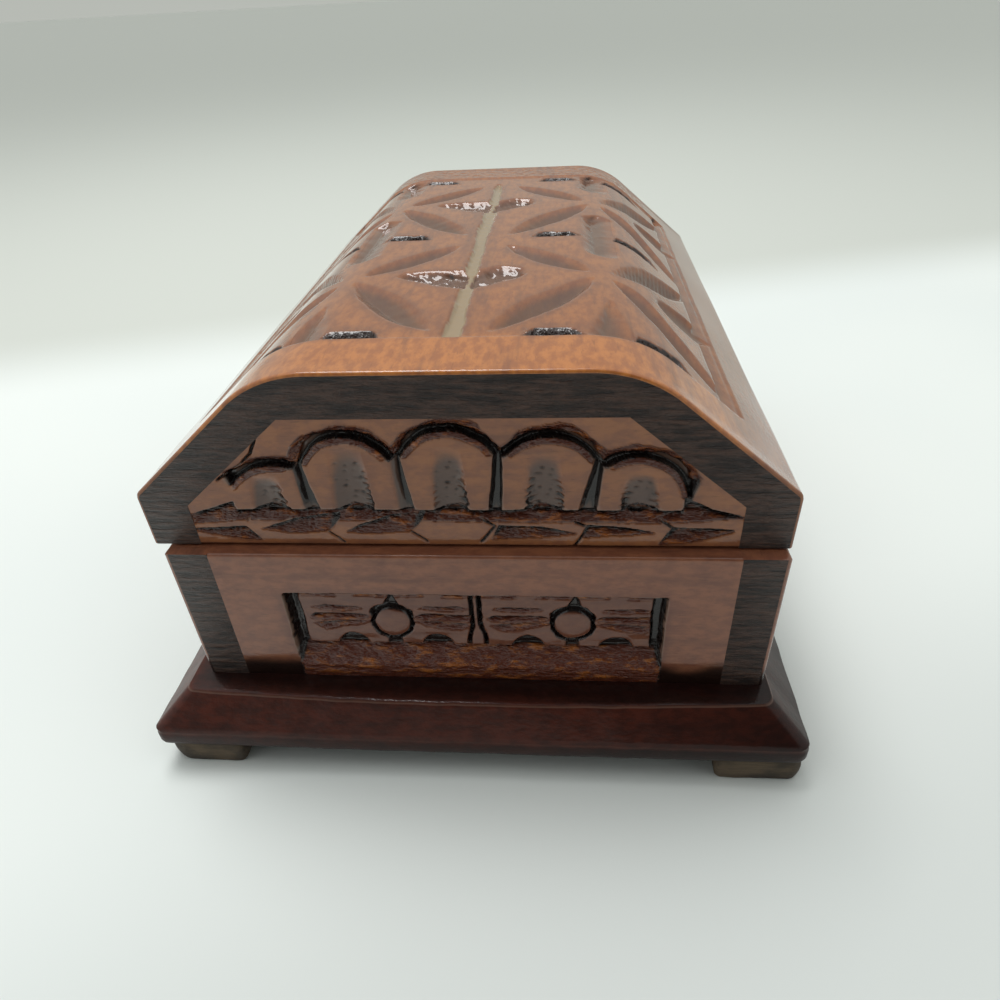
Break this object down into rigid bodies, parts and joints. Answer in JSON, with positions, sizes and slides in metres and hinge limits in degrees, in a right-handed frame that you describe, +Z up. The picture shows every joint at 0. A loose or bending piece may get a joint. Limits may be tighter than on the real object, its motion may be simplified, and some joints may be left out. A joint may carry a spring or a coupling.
{
  "type": "keepsake box",
  "caption": "Carved wooden keepsake box with a domed hinged lid, sunk carved side panels and a bevelled base on small block feet.",
  "frame": {"origin": "centre of the base plate at table level, under the feet", "axes": "+X along the box, -Y towards the side that opens, +Y towards the hinges, +Z up"},
  "size_m": [0.233, 0.1726, 0.1105],
  "materials": {
    "lid_wood": "glossy brown varnish over carved wood",
    "body_wood": "glossy dark brown varnish",
    "base_wood": "glossy red-brown varnish",
    "foot_wood": "thinly stained, nearly raw",
    "brass": "dull plated",
    "steel": "zinc plated"
  },
  "bodies": {
    "box": {"body_front_board": "body_wood", "body_back_board": "body_wood", "body_left_end_board": "body_wood", "body_right_end_board": "body_wood", "base_plate": "base_wood", "foot_front_left": "foot_wood", "foot_front_right": "foot_wood", "foot_back_left": "foot_wood", "foot_back_right": "foot_wood", "hinge_left_body_leaf": "brass", "hinge_left_pin": "brass", "hinge_right_body_leaf": "brass", "hinge_right_pin": "brass", "body_hinge_screws": "brass", "base_screws": "steel", "foot_nails": "steel"},
    "lid": {"lid_top_board": "lid_wood", "lid_front_slope_board": "lid_wood", "lid_back_slope_board": "lid_wood", "lid_front_rail": "lid_wood", "lid_back_rail": "lid_wood", "lid_left_end_board": "lid_wood", "lid_right_end_board": "lid_wood", "lid_hinge_screws": "brass", "hinge_left_lid_leaf": "brass", "hinge_right_lid_leaf": "brass"}
  },
  "joints": [
    {"name": "lid_hinge", "type": "hinge", "parent": "box", "child": "lid", "pos_m": [0, 0.0783, 0.06525], "axis": [-1, 0, 0], "range_deg": [0, 105]}
  ]
}
